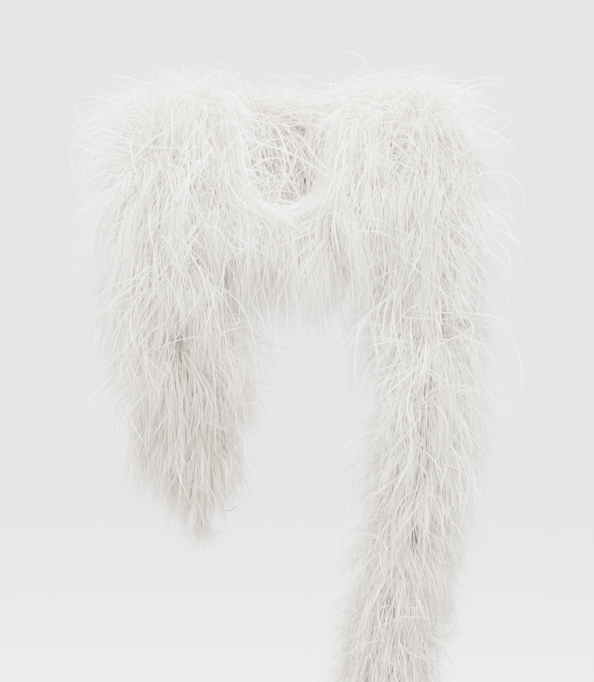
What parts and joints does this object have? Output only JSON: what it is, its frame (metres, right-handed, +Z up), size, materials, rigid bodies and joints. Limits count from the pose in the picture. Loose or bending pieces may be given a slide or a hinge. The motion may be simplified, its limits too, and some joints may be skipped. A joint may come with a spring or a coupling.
{
  "type": "feather boa",
  "caption": "White ostrich feather boa wound once round a neck, with a front swag and two hanging tails.",
  "frame": {"origin": "the neck rest: the middle of the space that the boa is wound round, level with the shoulders", "axes": "+Z up along the hanging tails, +Y towards the wearer's back, +X to the right seen from the front"},
  "size_m": [0.4098, 0.2493, 0.7638],
  "materials": {
    "ostrich_flues": "soft, slightly lustrous",
    "quill": "satin keratin",
    "core_cord": "matt twisted cotton",
    "binding_thread": "matt spun thread"
  },
  "bodies": {
    "neck_loop": {"bindings_neck_loop": "binding_thread", "core_back_high": "core_cord", "core_back_low": "core_cord", "plume_05": "ostrich_flues", "plume_06": "ostrich_flues", "plume_07": "ostrich_flues", "plume_08": "ostrich_flues", "plume_09": "ostrich_flues", "plume_10": "ostrich_flues", "plume_11": "ostrich_flues", "plume_12": "ostrich_flues", "plume_17": "ostrich_flues", "plume_18": "ostrich_flues", "plume_19": "ostrich_flues", "plume_20": "ostrich_flues", "plume_21": "ostrich_flues", "plume_22": "ostrich_flues", "plume_23": "ostrich_flues", "plume_24": "ostrich_flues", "quills_neck_loop": "quill"},
    "front_swag": {"bindings_front_swag": "binding_thread", "core_front_swag": "core_cord", "plume_13": "ostrich_flues", "plume_14": "ostrich_flues", "plume_15": "ostrich_flues", "plume_16": "ostrich_flues", "quills_front_swag": "quill"},
    "left_tail_upper": {"bindings_left_tail_upper": "binding_thread", "core_left_tail_upper": "core_cord", "plume_03": "ostrich_flues", "plume_04": "ostrich_flues", "quills_left_tail_upper": "quill"},
    "left_tail_lower": {"bindings_left_tail_lower": "binding_thread", "core_left_tail_lower": "core_cord", "end_knot_left": "core_cord", "end_tuft_left": "ostrich_flues", "loose_thread_left": "binding_thread", "plume_01": "ostrich_flues", "plume_02": "ostrich_flues", "quills_left_tail_lower": "quill"},
    "right_tail_upper": {"bindings_right_tail_upper": "binding_thread", "core_right_tail_upper": "core_cord", "plume_25": "ostrich_flues", "plume_26": "ostrich_flues", "plume_27": "ostrich_flues", "quills_right_tail_upper": "quill"},
    "right_tail_middle": {"bindings_right_tail_middle": "binding_thread", "core_right_tail_middle": "core_cord", "plume_28": "ostrich_flues", "plume_29": "ostrich_flues", "plume_30": "ostrich_flues", "quills_right_tail_middle": "quill"},
    "right_tail_lower": {"bindings_right_tail_lower": "binding_thread", "core_right_tail_lower": "core_cord", "end_knot_right": "core_cord", "end_tuft_right": "ostrich_flues", "plume_31": "ostrich_flues", "plume_32": "ostrich_flues", "quills_right_tail_lower": "quill"}
  },
  "joints": [
    {"name": "front_swag_swing", "type": "hinge", "parent": "neck_loop", "child": "front_swag", "pos_m": [0, -0.045, -0.011], "axis": [1, 0, 0], "range_deg": [-35, 12]},
    {"name": "left_tail_swing", "type": "hinge", "parent": "neck_loop", "child": "left_tail_upper", "pos_m": [-0.131, -0.045, -0.011], "axis": [1, 0, 0], "range_deg": [-35, 12]},
    {"name": "left_tail_sway", "type": "hinge", "parent": "left_tail_upper", "child": "left_tail_lower", "pos_m": [-0.113, -0.048, -0.1415], "axis": [0, 1, 0], "range_deg": [-12, 25]},
    {"name": "right_tail_swing", "type": "hinge", "parent": "neck_loop", "child": "right_tail_upper", "pos_m": [0.137, -0.045, -0.011], "axis": [1, 0, 0], "range_deg": [-35, 12]},
    {"name": "right_tail_sway", "type": "hinge", "parent": "right_tail_upper", "child": "right_tail_middle", "pos_m": [0.135, -0.05, -0.2065], "axis": [0, 1, 0], "range_deg": [-25, 12]},
    {"name": "right_tail_curl", "type": "hinge", "parent": "right_tail_middle", "child": "right_tail_lower", "pos_m": [0.113, -0.0515, -0.4065], "axis": [1, 0, 0], "range_deg": [-25, 25]}
  ]
}
